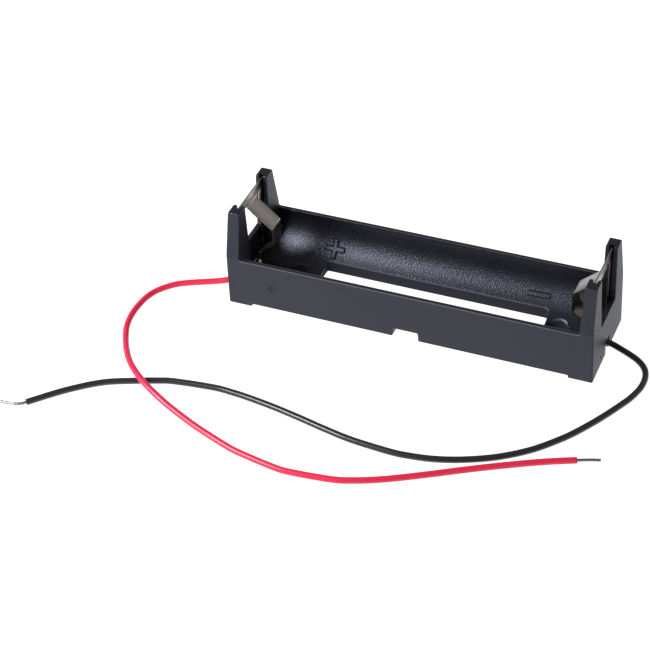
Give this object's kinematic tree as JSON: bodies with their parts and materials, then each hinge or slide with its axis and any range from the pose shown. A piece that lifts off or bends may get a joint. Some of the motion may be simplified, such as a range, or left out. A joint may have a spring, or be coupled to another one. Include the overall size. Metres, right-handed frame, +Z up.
{
  "type": "cylindrical cell holder",
  "caption": "Open moulded holder for a cylindrical cell, with folded spring contacts at its ends, countersunk fixing holes in its floor, and a red and a black wire lead.",
  "frame": {"origin": "middle of the underside of the moulded holder's two feet, at the height of the surface it stands on", "axes": "+X along the cell towards the negative end, where the black lead leaves; +Y across the holder; +Z up, out of the open trough"},
  "size_m": [0.118, 0.0654, 0.0218],
  "materials": {
    "holder_plastic": "fine spark-eroded texture, satin black",
    "contact_nickel": "nickel-plated spring steel, satin",
    "solder": "bright solder",
    "red_insulation": "smooth wire insulation",
    "black_insulation": "smooth wire insulation",
    "tinned_strands": "tinned copper strands, lightly twisted"
  },
  "bodies": {
    "root": {"holder_body": "holder_plastic", "positive_contact": "contact_nickel", "negative_contact": "contact_nickel", "positive_solder_joint": "solder", "negative_solder_joint": "solder", "red_lead": "red_insulation", "black_lead": "black_insulation", "red_lead_soldered_end": "tinned_strands", "black_lead_soldered_end": "tinned_strands", "red_lead_bare_end": "tinned_strands", "black_lead_bare_end": "tinned_strands"}
  },
  "joints": []
}
